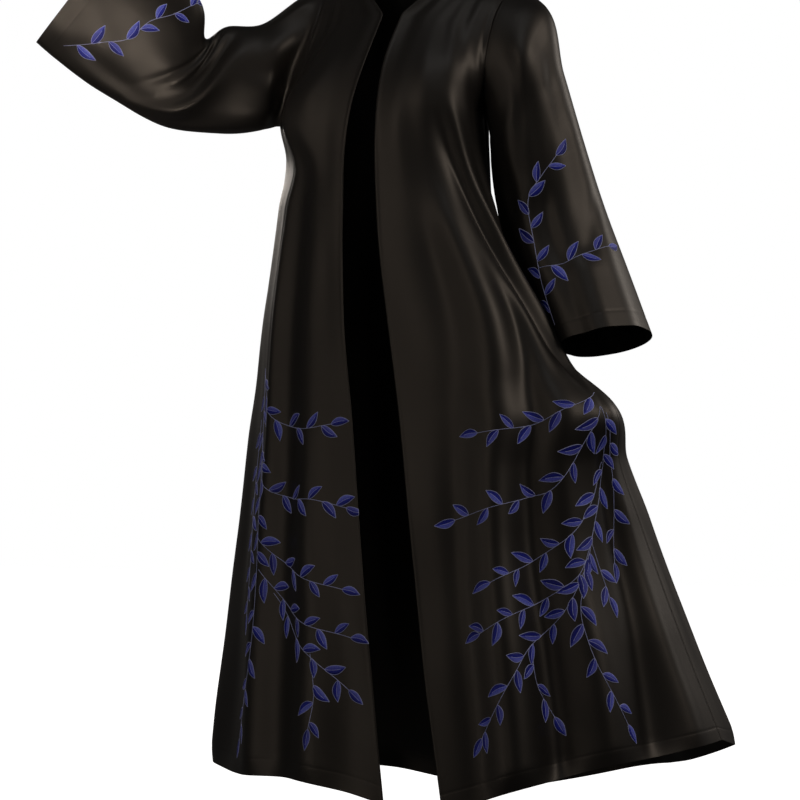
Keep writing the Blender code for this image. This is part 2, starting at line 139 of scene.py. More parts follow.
RIGHT_SEAM = (
    ("underarm", 0.250, -0.205, -0.028, -0.263, -0.80, 0.10),
    ("ribs", 0.300, -0.229, 0.000, -0.298, 0.10, 0.00),
    ("waist", 0.420, -0.247, 0.020, -0.402, 0.10, 0.00),
    ("hip", 0.600, -0.282, 0.038, -0.585, 0.10, 0.00),
    ("hand", 0.770, -0.308, 0.056, -0.752, 0.10, 0.00),
    ("knee", 0.960, -0.336, 0.076, -0.938, 0.10, 0.00),
    ("shin", 1.180, -0.366, 0.092, -1.155, 0.10, 0.00),
    ("hem", 1.400, -0.388, 0.090, -1.364, 0.10, 0.00),
)

# Armholes. Each row: level, drop, x and y on the front, x and y on the back, z.
LEFT_ARMHOLE = (
    ("shoulder tip", 0.000, 0.180, 0.000, 0.180, 0.000, -0.038),
    ("upper", 0.065, 0.166, -0.042, 0.172, 0.040, -0.085),
    ("middle", 0.130, 0.157, -0.062, 0.165, 0.058, -0.145),
    ("lower", 0.200, 0.149, -0.054, 0.156, 0.050, -0.210),
    ("underarm", 0.250, 0.132, -0.006, 0.132, -0.006, -0.252),
)
RIGHT_ARMHOLE = (
    ("shoulder tip", 0.000, -0.160, 0.000, -0.160, 0.000, -0.022),
    ("upper", 0.065, -0.154, -0.044, -0.160, 0.038, -0.070),
    ("middle", 0.130, -0.167, -0.068, -0.168, 0.052, -0.140),
    ("lower", 0.200, -0.182, -0.072, -0.185, 0.036, -0.214),
    ("underarm", 0.250, -0.205, -0.028, -0.205, -0.028, -0.263),
)

# Sleeve rings past the armhole. Each row: level, the shoulder-side point x, y, z, the
# underarm-side point x, y, z, and half the depth from front to back.
LEFT_SLEEVE = (
    ("cap", 0.228, 0.012, -0.070, 0.141, -0.012, -0.275, 0.066),
    ("upper arm", 0.264, 0.020, -0.190, 0.145, -0.010, -0.335, 0.067),
    ("above elbow", 0.293, 0.034, -0.300, 0.149, 0.006, -0.400, 0.074),
    ("elbow", 0.324, 0.044, -0.405, 0.160, 0.016, -0.472, 0.084),
    ("forearm", 0.364, 0.036, -0.505, 0.198, 0.018, -0.557, 0.096),
    ("cuff", 0.412, 0.018, -0.620, 0.262, 0.010, -0.656, 0.110),
)
RIGHT_SLEEVE = (
    ("cap", -0.194, -0.022, -0.040, -0.262, -0.004, -0.260, 0.056),
    ("upper arm", -0.258, -0.052, -0.088, -0.262, -0.058, -0.272, 0.060),
    ("above elbow", -0.310, -0.085, -0.094, -0.320, -0.085, -0.277, 0.053),
    ("elbow", -0.332, -0.120, -0.118, -0.404, -0.120, -0.265, 0.047),
    ("forearm", -0.320, -0.155, -0.072, -0.496, -0.155, -0.215, 0.043),
    ("lower forearm", -0.350, -0.195, 0.000, -0.546, -0.195, -0.176, 0.041),
    ("cuff", -0.408, -0.235, 0.078, -0.596, -0.235, -0.124, 0.040),
)

# How far the hem rises between the opening edge and the side seam. Each row: place across, rise.
LEFT_HEM = ((0.00, 0.000), (0.20, 0.012), (0.45, 0.022), (0.75, 0.014), (1.00, 0.000))
RIGHT_HEM = ((0.00, 0.014), (0.12, 0.027), (0.27, 0.033), (0.50, 0.018), (1.00, 0.000))
BACK_HEM = ((0.00, 0.000), (0.40, 0.010), (0.75, 0.010), (1.00, 0.000))
HEM_RISE_FROM = 0.85  # drop from which the cloth above takes up the hem's rise

# How round the section is at each drop: 0 is a straight line across, 1 a quarter of an ellipse.
ROUNDNESS = ((0.00, 0.00), (0.06, 0.15), (0.12, 0.45), (0.18, 0.80), (0.25, 1.00), (1.40, 1.00))

# Folds down a front, ridges with a positive height. Each row: name, drop where it starts and ends,
# place across the front there (0 at the opening edge, 1 at the side seam), bend (above 1 holds
# back the move across), half width as a fraction of the front, height at the start and at the end.
LEFT_FRONT_FOLDS = (
    ("bust drag", 0.20, 0.74, 0.50, 0.82, 1.50, 0.080, 0.010, 0.010),
    ("valley beside it", 0.22, 0.76, 0.42, 0.78, 1.50, 0.070, -0.006, -0.012),
    ("cone", 0.34, 1.46, 0.36, 0.24, 1.00, 0.090, 0.006, 0.026),
    ("valley past it", 0.50, 1.46, 0.48, 0.37, 1.00, 0.060, -0.006, -0.022),
    ("middle cone", 0.66, 1.46, 0.60, 0.52, 1.00, 0.070, 0.004, 0.020),
    ("hand valley", 0.78, 1.46, 0.84, 0.68, 1.00, 0.065, -0.008, -0.022),
    ("hand cone", 0.84, 1.46, 0.88, 0.85, 1.00, 0.055, 0.002, 0.010),
)
RIGHT_FRONT_FOLDS = (
    ("armhole crease", 0.22, 1.46, 0.47, 0.44, 1.00, 0.060, 0.008, 0.012),
    ("valley beside it", 0.30, 1.46, 0.34, 0.33, 1.00, 0.070, -0.005, -0.016),
    ("edge cone", 0.60, 1.46, 0.18, 0.21, 1.00, 0.080, 0.003, 0.014),
    ("side valley", 0.60, 1.46, 0.66, 0.62, 1.00, 0.080, -0.003, -0.010),
    ("side cone", 0.70, 1.46, 0.82, 0.80, 1.00, 0.070, 0.003, 0.014),
)
BACK_FOLDS = (
    ("left cone", 0.45, 1.46, 0.35, 0.30, 1.00, 0.100, 0.004, 0.026),
    ("left valley", 0.55, 1.46, 0.60, 0.52, 1.00, 0.080, -0.004, -0.020),
    ("side cone", 0.70, 1.46, 0.80, 0.74, 1.00, 0.070, 0.004, 0.020),
)

# Fullness of the chest on each front, and of the shoulder blades behind: drop, place across,
# half height down the cloth, half width across, and how far the cloth stands out.
LEFT_CHEST = (0.235, 0.48, 0.085, 0.300, 0.024)
RIGHT_CHEST = (0.235, 0.34, 0.085, 0.190, 0.018)
SHOULDER_BLADES = (0.180, 0.48, 0.070, 0.220, 0.010)

# Folds along a sleeve. Each row: name, place along it where it starts and ends (0 at the armhole,
# 1 at the cuff), angle round it there (0 on top, 90 in front, 180 below), half width in degrees,
# height at the start and at the end.
LEFT_SLEEVE_FOLDS = (
    ("armhole pleat", 0.02, 0.55, 78, 95, 16, 0.008, 0.004),
    ("front valley", 0.04, 0.80, 48, 60, 20, -0.006, -0.006),
    ("elbow ridge", 0.30, 1.10, 30, 36, 18, 0.003, 0.006),
    ("back valley", 0.20, 0.90, 290, 300, 24, -0.005, -0.006),
)
RIGHT_SLEEVE_FOLDS = (
    ("armhole pleat", 0.03, 0.30, 70, 60, 16, 0.006, 0.006),
    ("armhole valley", 0.05, 0.34, 95, 84, 14, -0.006, -0.006),
    ("elbow sling", 0.26, 0.60, 50, 150, 18, 0.006, 0.010),
    ("elbow valley", 0.30, 0.56, 28, 110, 14, -0.008, -0.006),
    ("back ridge", 0.10, 0.60, 250, 215, 22, 0.006, 0.006),
)

# Finer creases laid over the folds above, with the same columns.
LEFT_FRONT_CREASES = (
    ("drag crease", 0.24, 0.76, 0.445, 0.79, 1.50, 0.042, -0.0040, -0.0060),
    ("second drag", 0.36, 0.78, 0.60, 0.88, 1.60, 0.045, 0.0030, 0.0050),
    ("bust to side", 0.26, 0.60, 0.70, 0.86, 1.20, 0.060, 0.0030, 0.0030),
    ("hand pinch", 0.70, 0.98, 0.88, 0.76, 0.80, 0.040, -0.0040, -0.0020),
    ("low dent", 1.22, 1.46, 0.44, 0.52, 1.00, 0.050, -0.0010, -0.0040),
    ("cone crest", 0.36, 1.46, 0.33, 0.24, 1.00, 0.060, 0.0030, 0.0080),
    ("dip before it", 0.40, 1.46, 0.20, 0.13, 1.00, 0.050, -0.0030, -0.0080),
    ("dip past it", 0.46, 1.46, 0.44, 0.36, 1.00, 0.050, -0.0030, -0.0080),
)
RIGHT_FRONT_CREASES = (
    ("crease line", 0.24, 1.10, 0.500, 0.480, 1.00, 0.024, -0.0045, -0.0025),
    ("shoulder pull", 0.08, 0.34, 0.55, 0.42, 1.00, 0.060, 0.0030, 0.0020),
    ("low dent", 1.22, 1.46, 0.14, 0.10, 1.00, 0.045, -0.0010, -0.0040),
    ("edge dip", 0.40, 1.46, 0.12, 0.09, 1.00, 0.060, -0.0020, -0.0060),
)
BACK_CREASES = (
    ("waist pull", 0.30, 0.80, 0.20, 0.24, 1.00, 0.050, 0.0020, 0.0030),
    ("side pull", 0.30, 0.76, 0.62, 0.84, 1.40, 0.040, 0.0030, 0.0050),
    ("cone crest", 0.60, 1.44, 0.33, 0.29, 1.00, 0.030, 0.0010, 0.0030),
    ("low dent", 1.20, 1.46, 0.42, 0.44, 1.00, 0.030, -0.0010, -0.0040),
)
LEFT_SLEEVE_CREASES = (
    ("seam tuck", 0.01, 0.34, 92, 100, 7, -0.0040, -0.0010),
    ("long hollow", 0.12, 1.10, 84, 92, 11, -0.0050, -0.0060),
    ("outer crest", 0.12, 1.10, 56, 64, 13, 0.0040, 0.0040),
    ("inner crest", 0.12, 1.10, 112, 116, 12, 0.0040, 0.0040),
    ("elbow break", 0.52, 0.80, 20, 64, 10, -0.0030, -0.0010),
    ("cuff wave", 0.70, 1.10, 84, 88, 14, 0.0010, 0.0040),
    ("back break", 0.40, 0.70, 236, 262, 12, -0.0040, -0.0030),
)
RIGHT_SLEEVE_CREASES = (
    ("inner elbow", 0.36, 0.56, 4, 96, 8, -0.0080, -0.0050),
    ("loop below it", 0.40, 0.60, 2, 118, 8, 0.0070, 0.0050),
    ("loop's hollow", 0.44, 0.66, 6, 134, 7, -0.0050, -0.0040),
    ("sling crest", 0.34, 0.66, 74, 158, 8, 0.0030, 0.0040),
    ("armhole break", 0.08, 0.26, 120, 108, 9, -0.0040, -0.0030),
    ("upper ridge", 0.04, 0.28, 34, 24, 9, 0.0030, 0.0030),
    ("forearm dent", 0.56, 0.96, 128, 132, 12, -0.0020, -0.0040),
)

# Slow unevenness of the cloth. Each row: waves across, waves down, turn, height.
UNEVENNESS = (
    (2.3, 2.1, 0.4, 0.0009),
    (3.7, -2.8, 2.1, 0.0006),
    (5.9, 1.6, 4.0, 0.0004),
    (1.4, 4.3, 5.3, 0.0004),
)
SIDE_TURN = 1.7  # shifts the waves from one side to the other
BACK_TURN = 0.9

# Sprays of leaves on each front. Each row: name, the side of the first leaf, then the stem's points
# as place across (0 at the opening edge, 1 at the side seam) and drop. All the stems, here and on the
# sleeves, follow points read off the photo and turned into these units by a program. They aren't an
# original layout, and are due to be drawn afresh.
LEFT_SPRAYS = (
    ("waist branch", 1, (0.84, 0.75), (0.58, 0.77), (0.43, 0.79), (0.25, 0.80)),
    ("trunk", 1, (0.81, 0.77), (0.83, 0.86), (0.70, 0.95), (0.62, 1.02)),
    ("outer trunk", -1, (0.84, 0.78), (0.88, 0.86), (0.83, 0.94), (0.76, 1.03)),
    ("hip branch", -1, (0.80, 0.77), (0.70, 0.81), (0.61, 0.86), (0.51, 0.90), (0.41, 0.91), (0.16, 0.94)),
    ("thigh branch", 1, (0.82, 0.86), (0.68, 0.93), (0.56, 0.98), (0.40, 1.02), (0.26, 1.05)),
    ("long branch", -1, (0.70, 0.95), (0.61, 1.02), (0.53, 1.06), (0.34, 1.10), (0.20, 1.13)),
    ("low branch", 1, (0.62, 1.02), (0.48, 1.11), (0.35, 1.16), (0.28, 1.21), (0.16, 1.30)),
    ("low twig", -1, (0.35, 1.17), (0.35, 1.23), (0.39, 1.29)),
    ("hanging branch", 1, (0.62, 1.02), (0.54, 1.10), (0.53, 1.16), (0.55, 1.23), (0.61, 1.33)),
    ("short twig", -1, (0.65, 0.99), (0.66, 1.04), (0.67, 1.09)),
)
RIGHT_SPRAYS = (
    ("waist branch", 1, (0.56, 0.69), (0.50, 0.74), (0.40, 0.78), (0.24, 0.79), (0.10, 0.78)),
    ("hip branch", -1, (0.52, 0.81), (0.45, 0.89), (0.31, 0.91), (0.18, 0.91), (0.05, 0.92)),
    ("thigh branch", 1, (0.47, 0.98), (0.36, 1.02), (0.21, 1.05), (0.08, 1.06)),
    ("long branch", -1, (0.44, 1.04), (0.32, 1.10), (0.21, 1.13), (0.06, 1.14)),
    ("low branch", 1, (0.38, 1.08), (0.25, 1.16), (0.18, 1.19), (0.08, 1.23)),
    ("low twig", -1, (0.19, 1.18), (0.18, 1.25), (0.20, 1.31)),
    ("main stem", 1, (0.56, 0.69), (0.53, 0.80), (0.48, 0.91), (0.45, 1.05), (0.45, 1.20), (0.52, 1.34)),
    ("side branch", -1, (0.58, 0.78), (0.57, 0.90), (0.53, 1.02), (0.52, 1.12)),
)

# Sprays on the sleeves: the stem's points as the angle round the sleeve and the place along it.
LEFT_SLEEVE_SPRAYS = (
    ("sleeve stem", 1, (126, 0.94), (117, 0.82), (108, 0.64), (104, 0.49), (86, 0.44), (63, 0.41)),
    ("sleeve twig", -1, (112, 0.74), (86, 0.75), (63, 0.74), (30, 0.73)),
)
RIGHT_SLEEVE_SPRAYS = (
    ("sleeve stem", -1, (140, 0.91), (112, 0.82), (94, 0.76), (72, 0.75), (49, 0.71), (14, 0.68)),
)

LEAF_LENGTH = 0.039
LEAF_HALF_WIDTH = 0.0077
LEAF_SPACING = 0.029
LEAF_ROOM = 0.017  # least distance between the middles of two leaves
LEAF_RISE = 0.0007
LEAF_SHAPE = (0.85, 1.10, 0.265)  # powers of the width at base and tip, and what scales it to 1
LEAF_BEND = 0.10  # most that a leaf's middle line bows, as a share of its length
LEAF_LIFT = 0.0001
# Painted sheen: the number of random steps by which a leaf's fill is made lighter or darker, standing in
# for the sheen that each leaf's thread angle catches.
LEAF_SHEEN_STEPS = 8
LEAF_SIZES = (0.86, 1.10)
LEAF_SHRINK = 0.12  # how much smaller the last leaves of a stem are
TIP_LEAF_SIZE = 0.90
MIDDLE_LINE_REACH = 0.76
FIRST_LEAF = 0.7  # distance of the first leaf from the stem's start, in spacings
LAST_LEAF = 0.25  # and of the last one from its tip
LEAF_ANGLE = 42.0  # degrees from the stem
LEAF_ANGLE_SPREAD = 9.0
LEAF_ROWS = 16
LEAF_COLUMNS = 10
STEM_SPOTS = 80
STEM_HALF_WIDTH = 0.00048
STEM_SHADE = 0.3
OUTLINE_HALF_WIDTH = 0.0005
THREAD_RISE = 0.0006
THREAD_PROFILE = ((-1.0, -0.15), (-0.62, 0.75), (0.0, 1.0), (0.62, 0.75), (1.0, -0.15))  # aside, rise
THREAD_REPEAT = 0.04  # length of thread to a unit of its texture map

# Area lights. Each row: name, where it stands, where it points, side of its square, watts, spread in
# degrees, colour.
WAIST = (0.0, 0.0, -0.65)
RAISED_CUFF = (-0.46, -0.20, -0.03)
LIGHTS = (
    ("key", (-1.2, -4.2, 1.0), WAIST, 1.2, 12.5, 180, (1.0, 0.89, 0.78)),
    ("low left", (-2.9, -3.0, -0.8), WAIST, 1.2, 7.0, 180, (1.0, 0.90, 0.80)),
    ("cuff", (-0.45, -1.7, -1.1), RAISED_CUFF, 0.4, 0.7, 40, (1.0, 0.90, 0.80)),
    ("right", (3.2, -0.5, 1.3), WAIST, 1.1, 27.0, 180, (1.0, 0.91, 0.82)),
    ("overhead", (0.6, -1.6, 2.2), WAIST, 1.2, 6.0, 180, (0.88, 0.94, 1.0)),
    ("behind left", (-2.8, 2.6, 0.6), WAIST, 1.2, 26.0, 180, (1.0, 0.92, 0.84)),
    ("behind right", (2.6, 3.0, 0.8), WAIST, 1.2, 26.0, 180, (1.0, 0.92, 0.84)),
)

CAMERA_DISTANCE = 4.5
CAMERA_AZIMUTH = np.radians(22.0)
CAMERA_HEIGHT = -0.734
CAMERA_ASIDE = -0.0221  # how far the view's centre lies to the side of the origin
LENS = 119.1
SENSOR_WIDTH = 36.0
VIEW_REACH = 50.0

FLOOR_DROP = 1.47
FLOOR_REACH = 6.0
SURROUND_GLOW = 0.03  # strength of the white surround on the cloak; the camera sees it at 1


def smooth_step(value):
    value = np.clip(value, 0.0, 1.0)
    return value * value * (3.0 - 2.0 * value)


def curve_through(knots, values, at):
    """A smooth curve through the values at the knots, read at the places asked for."""
    knots = np.asarray(knots, float)
    values = np.asarray(values, float)
    slopes = np.gradient(values, knots, axis=0)
    span = np.clip(np.searchsorted(knots, at, side="right") - 1, 0, len(knots) - 2)
    width = knots[span + 1] - knots[span]
    t = (at - knots[span]) / width
    extra = values.ndim - 1
    t = t.reshape(t.shape + (1,) * extra)
    width = width.reshape(width.shape + (1,) * extra)
    start = (1 + 2 * t) * (1 - t) ** 2 * values[span] + t * (1 - t) ** 2 * width * slopes[span]
    end = t * t * (3 - 2 * t) * values[span + 1] - t * t * (1 - t) * width * slopes[span + 1]
    return start + end


def line_at(table, drops, first=2, count=3):
    """Columns of a line's table, from the given first one, read at each drop."""
    knots = [row[1] for row in table]
    values = [row[first : first + count] for row in table]
    return curve_through(knots, values, drops)


def centre_back_table(side):
    """The middle of the back, whose top two rows follow the neckline out to one side."""
    out = {0: side * NECK_HALF_WIDTH, 1: side * NECK_HALF_WIDTH * NECK_SIDE_SHARE}
    return [row[:2] + (out.get(i, row[2]),) + row[3:] for i, row in enumerate(CENTRE_BACK)]


def split_at_neck(table, drops):
    """A line read in two stretches, so that the corner of the neckline stays sharp."""
    corner = table[2][1]
    above = line_at(table[:3], drops)
    below = line_at(table[2:], drops)
    return np.where((drops < corner)[:, None], above, below)


def outer_line(armhole, seam, drops, on_back):
    """The armhole down to the underarm, then the side seam."""
    x_column = 4 if on_back else 2
    across = line_at(armhole, drops, x_column, 2)
    height = line_at(armhole, drops, 6, 1)
    upper = np.concatenate([across, height], axis=1)
    lower = line_at(seam, drops)
    return np.where((drops < ARMHOLE_DEPTH)[:, None], upper, lower)


def panel_base(inner, outer, lean, drops, places):
    """The cloth from an inner line to an outer one: straight at the shoulder, rounding to an
    ellipse's quarter by the underarm. Places run from 0 on the inner line to 1 on the outer."""
    roundness = np.interp(drops, *zip(*ROUNDNESS))[:, None]
    angle = (1.0 - places)[None, :] * np.pi / 2
    centre_x = inner[:, :1] + (lean * (inner[:, 1] - outer[:, 1]))[:, None]
    centre_y = outer[:, 1:2]
    towards_seam = (outer[:, :1] - centre_x) * np.cos(angle)
    towards_middle = (inner[:, :1] - centre_x) * np.sin(angle)
    round_x = centre_x + towards_seam + towards_middle
    round_y = centre_y + (inner[:, 1:2] - centre_y) * np.sin(angle)
    flat = inner[:, None, :] + (outer - inner)[:, None, :] * places[None, :, None]
    points = flat.copy()
    points[:, :, 0] += roundness * (round_x - flat[:, :, 0])
    points[:, :, 1] += roundness * (round_y - flat[:, :, 1])
    return points


def bump(distance):
    return np.exp(-(distance**2))


def panel_relief(folds, fullness, drops, places):
    """How far the cloth stands out of its base at each point."""
    down = drops[:, None]
    across = places[None, :]
    relief = np.zeros((len(drops), len(places)))
    for _, start, end, from_place, to_place, bend, half_width, from_height, to_height in folds:
        along = np.clip((down - start) / (end - start), 0.0, 1.0)
        middle = from_place + (to_place - from_place) * along**bend
        height = from_height + (to_height - from_height) * along
        fade = smooth_step((down - start) / FOLD_FADE_IN) * smooth_step((end - down) / FOLD_FADE_OUT)
        relief += height * fade * bump((across - middle) / half_width)
    drop, place, half_height, half_width, reach = fullness
    relief += reach * bump((down - drop) / half_height) * bump((across - place) / half_width)
    clear_of_seams = smooth_step((1.0 - across) / SMOOTH_BY_SEAM) * smooth_step(down / 0.06)
    return relief * clear_of_seams


def outward(points, side):
    """Unit normals of a grid that runs down and then across towards the given side."""
    down = np.gradient(points, axis=0)
    across = np.gradient(points, axis=1)
    return unit(np.cross(down, across) * side)


def slow_waves(down, across, turn):
    """The slow unevenness of one piece of cloth, turned differently for each."""
    waves = np.zeros(np.broadcast(down, across).shape)
    for by_place, by_drop, phase, height in UNEVENNESS:
        waves += height * np.sin(2 * np.pi * (by_place * across + by_drop * down) + phase + turn)
    return waves


def row_lengths(points):
    """Distance along each row of a grid from its first point."""
    steps = np.linalg.norm(np.diff(points, axis=1), axis=2)
    return np.concatenate([np.zeros((len(points), 1)), np.cumsum(steps, axis=1)], axis=1)


def panel(inner, armhole, seam, hem, folds, fullness, side, on_back):
    """The points of one front, or of one half of the back, from its inner line to its outer."""
    drops = garment_drops()
    places = panel_places()
    outer = outer_line(armhole, seam, drops, on_back)
    lean = line_at(seam, np.maximum(drops, ARMHOLE_DEPTH), 6 if on_back else 5, 1)[:, 0]
    base = panel_base(split_at_neck(inner, drops), outer, lean, drops, places)
    rise = curve_through(*zip(*hem), places)
    taken_up = smooth_step((drops - HEM_RISE_FROM) / (CLOAK_LENGTH - HEM_RISE_FROM))
    base[:, :, 2] += taken_up[:, None] * rise
    base = eased(base, drops, places, on_back)
    relief = panel_relief(folds, fullness, drops, places)
    waves = slow_waves(drops[:, None], places[None, :], SIDE_TURN * side + BACK_TURN * on_back)
    relief += waves * smooth_step((1.0 - places) / SMOOTH_BY_SEAM) * smooth_step(drops / 0.10)[:, None]
    if on_back:
        relief *= smooth_step(places / SMOOTH_BY_SEAM)
    relief += sewn_edges(row_lengths(base), drops[:, None], on_back)
    return base + outward(base, -side if on_back else side) * relief[:, :, None]


def eased(base, drops, places, on_back):
    """The cloth with the break that the underarm throws across it smoothed out, away from the seam and,
    on the back, from the centre line that its two halves share."""
    soft = base.copy()
    for _ in range(EASING_PASSES):
        soft[1:-1] = (soft[:-2] + 2.0 * soft[1:-1] + soft[2:]) / 4.0
    near_underarm = bump((drops - ARMHOLE_DEPTH) / EASED_HEIGHT)[:, None]
    weight = near_underarm * smooth_step((1.0 - places) / EASED_FROM_SEAM)
    if on_back:
        weight = weight * smooth_step(places / SMOOTH_BY_SEAM)
    return base + (soft - base) * weight[:, :, None]


def round_off(halves, reach):
    """Takes the ridge out of the centre back, where the two halves meet, by drawing it in. The pull is
    the same for both halves at the centre line, so that they stay joined."""
    slopes = []
    for half in halves:
        step = half[:, 6] - half[:, 0]
        slopes.append(-step[:, 1] / np.abs(step[:, 0]))
    below_neck = smooth_step((garment_drops() - NECK_DEPTH) / BACK_ROUNDING_FADE)
    ridge = np.mean(slopes, axis=0) * below_neck
    for half in halves:
        away = np.abs(half[:, :, 0] - half[:, :1, 0])
        half[:, :, 1] -= ridge[:, None] * np.maximum(0.0, reach - away) ** 2 / (2.0 * reach)


def sewn_edges(from_edge, down, on_back):
    """The rolled opening edge and neckline, the ditch along the outer seam, and the hem's stitches."""
    rolled = bump((from_edge - EDGE_ROLL_WIDTH) / EDGE_ROLL_WIDTH) * EDGE_ROLL
    if on_back:
        rolled = rolled * (down < NECK_DEPTH)
    from_seam = from_edge[:, -1:] - from_edge
    ditch = bump(from_seam / SEAM_DITCH_WIDTH) * SEAM_DITCH
    from_hem = CLOAK_LENGTH - down
    stitches = bump((from_hem - HEM_STITCH_UP) / HEM_STITCH_HALF_WIDTH) * HEM_STITCH_DEPTH
    return rolled - ditch - stitches


def panel_places():
    near = np.array(CLOSE_PLACES)
    return np.unique(np.concatenate([np.linspace(0.0, 1.0, PANEL_COLUMNS + 1), near, 1.0 - near]))


def garment_drops():
    """The drop of each row of the fronts and back: even down the armhole, then closer at the hem."""
    upper = np.linspace(0.0, ARMHOLE_DEPTH, ARMHOLE_ROWS + 1)
    lower = np.linspace(ARMHOLE_DEPTH, CLOAK_LENGTH, SKIRT_ROWS + 1)
    return np.unique(np.concatenate([upper, lower, CLOAK_LENGTH - np.array(CLOSE_DROPS)]))


def sleeve_alongs(length):
    """The places along a sleeve of this length: even, then closer at the armhole and the cuff."""
    cuff = 1.0 - np.array(CLOSE_DROPS) / length
    armhole = np.array(CLOSE_ARMHOLE) / length
    return np.unique(np.concatenate([np.linspace(0.0, 1.0, SLEEVE_ROWS + 1), cuff, armhole]))


def sleeve(front_panel, back_panel, table, folds, side):
    """The rings of a sleeve, from the armhole's own points out to the cuff, and their places along."""
    front_half = front_panel[: ARMHOLE_ROWS + 1, -1]
    back_half = back_panel[1:ARMHOLE_ROWS, -1][::-1]
    armhole = np.concatenate([front_half, back_half])
    tops = np.array([row[1:4] for row in table])
    bottoms = np.array([row[4:7] for row in table])
    half_depths = np.array([row[7] for row in table])
    centres = np.concatenate([armhole.mean(axis=0)[None], (tops + bottoms) / 2])
    steps = np.linalg.norm(np.diff(centres, axis=0), axis=1)
    knots = np.concatenate([[0.0], np.cumsum(steps)])
    axes = np.gradient(centres, knots, axis=0)[1:]
    across = (tops - bottoms) / 2
    front_way = side * np.cross(axes, across)
    front_way *= (half_depths / np.linalg.norm(front_way, axis=1))[:, None]
    turn = np.arange(len(armhole)) * 2 * np.pi / len(armhole)
    rings = (
        ((tops + bottoms) / 2)[:, None, :]
        + across[:, None, :] * np.cos(turn)[None, :, None]
        + front_way[:, None, :] * np.sin(turn)[None, :, None]
    )
    rings = np.concatenate([armhole[None], rings])
    along = sleeve_alongs(knots[-1])
    points = curve_through(knots, rings, along * knots[-1])
    relief = sleeve_relief(folds, along, np.degrees(turn))
    waves = slow_waves(along[:, None], np.round(2 * turn / np.pi, 6)[None, :] * 0.5, side)
    relief += waves * smooth_step(along / 0.15)[:, None] * np.sin(turn / 2)[None, :]
    from_cuff = (1.0 - along) * knots[-1]
    relief -= (bump(along * knots[-1] / SEAM_DITCH_WIDTH) * SEAM_DITCH * (along > 0))[:, None]
    stitches = bump((from_cuff - HEM_STITCH_UP) / HEM_STITCH_HALF_WIDTH) * HEM_STITCH_DEPTH
    relief -= stitches[:, None]
    return points + tube_outward(points, side) * relief[:, :, None], along


def sleeve_relief(folds, along, angles):
    relief = np.zeros((len(along), len(angles)))
    place = along[:, None]
    for _, start, end, from_angle, to_angle, half_width, from_height, to_height in folds:
        t = np.clip((place - start) / (end - start), 0.0, 1.0)
        middle = from_angle + (to_angle - from_angle) * t
        off = (angles[None, :] - middle + 180.0) % 360.0 - 180.0
        height = from_height + (to_height - from_height) * t
        rising = smooth_step((place - start) / SLEEVE_FOLD_FADE)
        fade = rising * smooth_step((end - place) / SLEEVE_FOLD_FADE)
        relief += height * fade * bump(off / half_width)
    return relief * smooth_step(place / 0.08)


def tube_outward(points, side):
    down = np.gradient(points, axis=0)
    around = np.roll(points, -1, axis=1) - np.roll(points, 1, axis=1)
    return unit(np.cross(around, down) * side)


def unit(vectors):
    return vectors / np.maximum(np.linalg.norm(vectors, axis=-1, keepdims=True), 1e-12)


def grid_faces(rows, columns, wraps):
    """Quads of a grid of points, rows by columns, closed round on itself if it wraps."""
    i = np.arange(rows - 1)[:, None]
    j = np.arange(columns if wraps else columns - 1)[None, :]
    k = (j + 1) % columns
    corners = [i * columns + j, (i + 1) * columns + j, (i + 1) * columns + k, i * columns + k]
    return np.stack(np.broadcast_arrays(*corners), axis=-1).reshape(-1, 4)


def open_edges(faces):
    """The edges that only one quad uses, in the order that its quad runs along them."""
    runs = np.concatenate([faces[:, [i, (i + 1) % 4]] for i in range(4)])
    _, index, count = np.unique(np.sort(runs, axis=1), axis=0, return_inverse=True, return_counts=True)
    return runs[count[index.reshape(-1)] == 1]


def point_normals(points, faces):
    corners = points[faces]
    face_normals = np.cross(corners[:, 2] - corners[:, 0], corners[:, 3] - corners[:, 1])
    summed = np.zeros_like(points)
    for corner in range(4):
        np.add.at(summed, faces[:, corner], face_normals)
    return unit(summed)


def mesh_object(name, points, faces, uvs, material):
    """A smooth mesh from points, faces and one (u, v) for each corner of each face."""
    mesh = bpy.data.meshes.new(name)
    mesh.from_pydata(points.tolist(), [], faces.tolist())
    layer = mesh.uv_layers.new(name="cloth")
    layer.data.foreach_set("uv", np.ascontiguousarray(uvs, np.float32).ravel())
    mesh.shade_smooth()
    mesh.materials.append(material)
    made = bpy.data.objects.new(name, mesh)
    bpy.context.scene.collection.objects.link(made)
    return made


def cloth(name, grids, turns, spreads, wraps, material):
    """A thin closed shell of cloth. The grids give its outer face, a turn of 1 or -1 makes each face
    out, and the spreads give each point's place on the flat cloth, in metres."""
    points = []
    faces = []
    for grid, turn in zip(grids, turns):
        quads = grid_faces(*grid.shape[:2], wraps) + sum(len(block) for block in points)
        faces.append(quads if turn > 0 else quads[:, ::-1])
        points.append(grid.reshape(-1, 3))
    points = np.concatenate(points)
    faces = np.concatenate(faces)
    corners = np.concatenate([spread.reshape(-1, 2) for spread in spreads])[faces]
    if wraps:
        full = corners[:, :, 0].max()
        behind = corners[:, :, 0].max(axis=1, keepdims=True) - corners[:, :, 0] > full / 2
        corners[:, :, 0] += behind * full
    _, first, index = np.unique(np.round(points, 6), axis=0, return_index=True, return_inverse=True)
    points = points[first]
    faces = index.reshape(-1)[faces]
    normals = point_normals(points, faces)
    count = len(points)
    strips = np.array([(b, a, a + count, b + count) for a, b in open_edges(faces)])
    both = np.concatenate([points, points - CLOTH_THICKNESS * normals])
    quads = np.concatenate([faces, faces[:, ::-1] + count, strips])
    uvs = np.concatenate([corners, corners[:, ::-1], np.zeros((len(strips), 4, 2))])
    return mesh_object(name, both, quads, uvs, material)


def panel_spread(points, side):
    """Each point's place on the flat cloth: distance from the inner line, and drop."""
    across = row_lengths(points) * side
    return np.stack([across, np.broadcast_to(garment_drops()[:, None], across.shape)], axis=-1)


